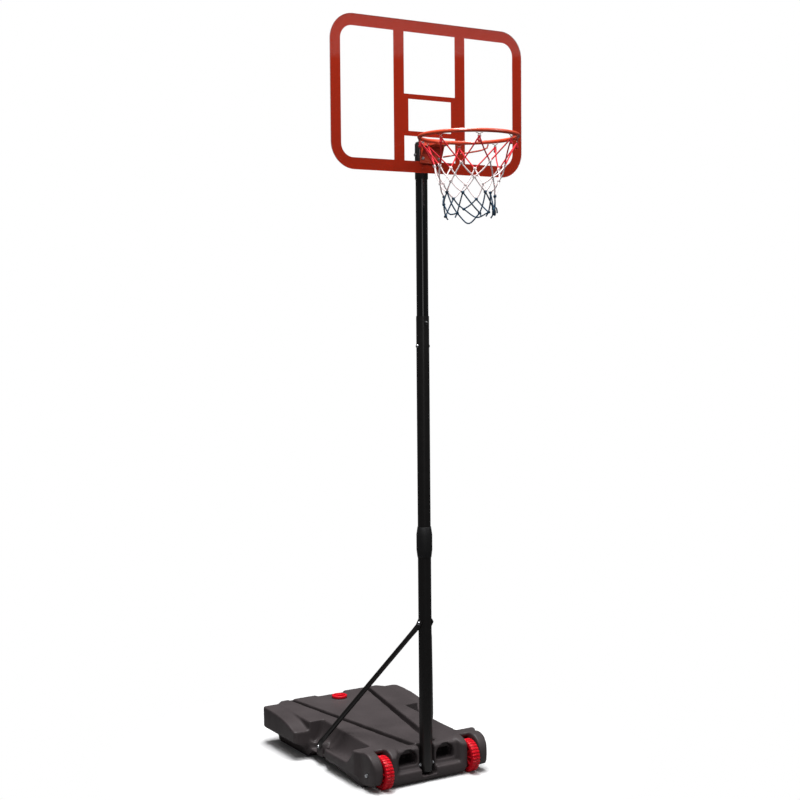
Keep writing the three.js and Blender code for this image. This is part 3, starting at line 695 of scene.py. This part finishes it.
def drooping_loop(net, a, b, drop):
    """A slack piece of cord between two knots of the bottom row."""
    path = sag(a, b, drop, 0.006)
    net.cord(path, plain(NET_BLUE, path))


def tangle(net, place, turns=2.3):
    """A small curl of left-over cord beside a knot."""
    t = np.linspace(0, 2 * math.pi * turns, 60)
    size = 0.008 + 0.0016 * t / math.pi
    out = place - RING_CENTRE
    out[2] = 0
    out /= np.linalg.norm(out)
    along = np.array([-out[1], out[0], 0])
    curl = np.outer(size * np.sin(t), along)
    path = place - [0, 0, 0.014] + curl + np.outer(0.0012 * t - 0.004, out)
    path[:, 2] += size * np.cos(t) * 1.25
    net.cord(path, plain(NET_BLUE, path))


def nearest(row, angle):
    """The index of the knot of a row that lies closest to an angle around the ring, in degrees."""
    def away(place):
        turn = math.degrees(math.atan2(place[1] - RING_CENTRE[1], place[0])) - angle
        return abs((turn + 180) % 360 - 180)
    return min(range(len(row)), key=lambda i: away(row[i]))


def loose_ends(net, bottom):
    """What hangs from the bottom row: short loose ends, slack loops and a small tangle."""
    for i, place in enumerate(bottom):
        if i % 3 != 1:
            loose_end(net, place, random.uniform(0, 2 * math.pi), 0.008 + 0.012 * random.random())
    for angle, drop in SLACK_LOOPS:
        i = nearest(bottom, angle)
        drooping_loop(net, bottom[i - 1], bottom[i], drop)
    tangle(net, bottom[nearest(bottom, TANGLE_ANGLE)])


net, rows = build_net()
loose_ends(net, rows[-1])
cords = new_piece("net_cords", np.vstack(net.vertices), net.faces, CORD, "head", "net")
tint = cords.data.color_attributes.new("cord_color", "FLOAT_COLOR", "POINT")
colors = np.ones((net.count, 4), np.float32)
colors[:, :3] = np.vstack(net.colors)
tint.data.foreach_set("color", colors.ravel())

# ---------------------------------------------------------------- net hooks

WIRE_R = 0.0016
PIGTAIL = [  # along the ring, outward and up from its top, in mm
    (-15, 0, -1.5),
    (-9, 0, -3),
    (-2, 1, -7),
    (5, 1.5, -11),
    (6.5, 1, -15.5),
    (3, 0, -18.2),
    (-3, 0, -18.2),
    (-6.5, -1, -15.5),
    (-5, -1.5, -11),
    (2, -1, -7),
    (9, 0, -3),
    (15, 0, -1.5),
]


def pigtail(index):
    """A wire hook: both ends welded under the ring, and a crossed loop between them."""
    low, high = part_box(f"net_hook_{index:02d}")
    centre = (low + high) / 2
    angle = math.atan2(centre.y - RING_CENTRE[1], centre.x)
    out = np.array([math.cos(angle), math.sin(angle), 0])
    along = np.array([-out[1], out[0], 0])
    base = around_ring(angle, math.hypot(centre.x, centre.y - RING_CENTRE[1]), high.z)
    points = [base + (along * s + out * r + np.array([0, 0, z])) * 1e-3 for s, r, z in PIGTAIL]
    path = curve_through(points, 8)
    vertices, faces = tube(path, [0.21, 0.35, 0.91], lambda i, angle: WIRE_R)
    new_piece(f"pigtail_{index:02d}", vertices, faces, WIRE, "head", f"net_hook_{index:02d}")


for number in range(1, CELLS + 1):
    pigtail(number)

# ---------------------------------------------------------------- floor and light

FLOOR_RADIUS = 40
FLOOR_PALE = (0.93, 0.93, 0.935)
FLOOR_BOUNCE = (0.3, 0.3, 0.3)  # what it sends back up to the object
FADE_START = 0.65  # from the middle of the base, where the floor turns into the backdrop
FADE_END = 1.4
BACKDROP_FILL = 0.08  # how much of the white backdrop lights the object


def make_floor():
    """A pale floor that fades into the backdrop, and lights the object from below only faintly."""
    bpy.ops.mesh.primitive_circle_add(vertices=96, radius=FLOOR_RADIUS, fill_type="NGON",
                                      location=(0, 0, -0.0005))
    floor = bpy.context.object
    floor.name = "floor"
    finish = Finish("floor_paint")
    finish.set(Roughness=0.6, Specular_IOR_Level=0.25)
    seen = finish.node("ShaderNodeLightPath").outputs["Is Camera Ray"]
    finish.color(finish.ramp(seen, (0, FLOOR_BOUNCE), (1, FLOOR_PALE)))
    floor.data.materials.append(finish.material)
    clear = finish.node("ShaderNodeBsdfTransparent")
    mix = finish.node("ShaderNodeMixShader")
    distance = finish.node("ShaderNodeVectorMath", operation="LENGTH")
    finish.link(finish.place, distance.inputs[0])
    fade = finish.spread(distance.outputs["Value"], 0, 1, FADE_START, FADE_END)
    finish.link(fade, mix.inputs[0])
    finish.link(finish.shader.outputs[0], mix.inputs[1])
    finish.link(clear.outputs[0], mix.inputs[2])
    finish.link(mix.outputs[0], finish.tree.nodes["Material Output"].inputs[0])


def make_light(name, place, size, radiance, turn):
    """A rectangular softbox of a given brightness; turn is its rotation matrix."""
    light = bpy.data.lights.new(name, "AREA")
    light.shape = "RECTANGLE"
    light.size, light.size_y = size
    light.energy = radiance * math.pi * size[0] * size[1]
    obj = bpy.data.objects.new(name, light)
    obj.matrix_world = Matrix.Translation(place) @ turn.to_4x4()
    bpy.context.scene.collection.objects.link(obj)


def softbox(name, place, target, size, radiance):
    """A softbox aimed at a point."""
    aim = Vector(target) - Vector(place)
    make_light(name, place, size, radiance, aim.to_track_quat("-Z", "Y").to_matrix())


def make_world():
    """A white backdrop that lights the object only faintly, so the softboxes model its shape."""
    world = bpy.data.worlds.new("studio")
    world.use_nodes = True
    tree = world.node_tree
    background = tree.nodes["Background"]
    background.inputs["Color"].default_value = (1, 1, 1, 1)
    seen = tree.nodes.new("ShaderNodeLightPath")
    strength = tree.nodes.new("ShaderNodeMapRange")
    strength.inputs["To Min"].default_value = BACKDROP_FILL
    strength.inputs["To Max"].default_value = 1.0
    tree.links.new(seen.outputs["Is Camera Ray"], strength.inputs["Value"])
    tree.links.new(strength.outputs["Result"], background.inputs["Strength"])
    bpy.context.scene.world = world


SOFTBOXES = [
    # name, place, target, size, brightness
    ("overhead", (-0.2, -0.2, 7.5), (0, -0.2, 0), (3.4, 3.4), 19.0),
    ("board_front", (2.2, -3.0, 5.9), (0, -0.6, 3.2), (1.2, 1.2), 15.0),
    ("net_fill", (-2.2, -2.9, 5.9), (0, -0.9, 2.9), (0.9, 0.9), 34.0),
    ("pole_sheen", (-2.7, -7.2, 3.2), (0, -0.5, 2.4), (2.0, 2.8), 1.1),
    ("rim_left", (-2.6, -1.6, 4.0), (0, -0.9, 3.0), (0.6, 0.8), 9.0),
    ("rim_right", (3.4, -2.6, 4.2), (0, -0.9, 3.0), (0.4, 0.8), 7.0),
]

make_floor()
make_world()
for settings in SOFTBOXES:
    softbox(*settings)
# A wide panel whose mirror image covers the upper part of the board.
board_turn = Matrix.Rotation(math.radians(-5), 3, "Y") @ Matrix.Rotation(math.radians(90), 3, "X")
make_light("board_reflection", (7.6, -12.0, 7.35), (7.5, 2.6), 1.25, board_turn)
bpy.context.scene.view_settings.view_transform = "Standard"
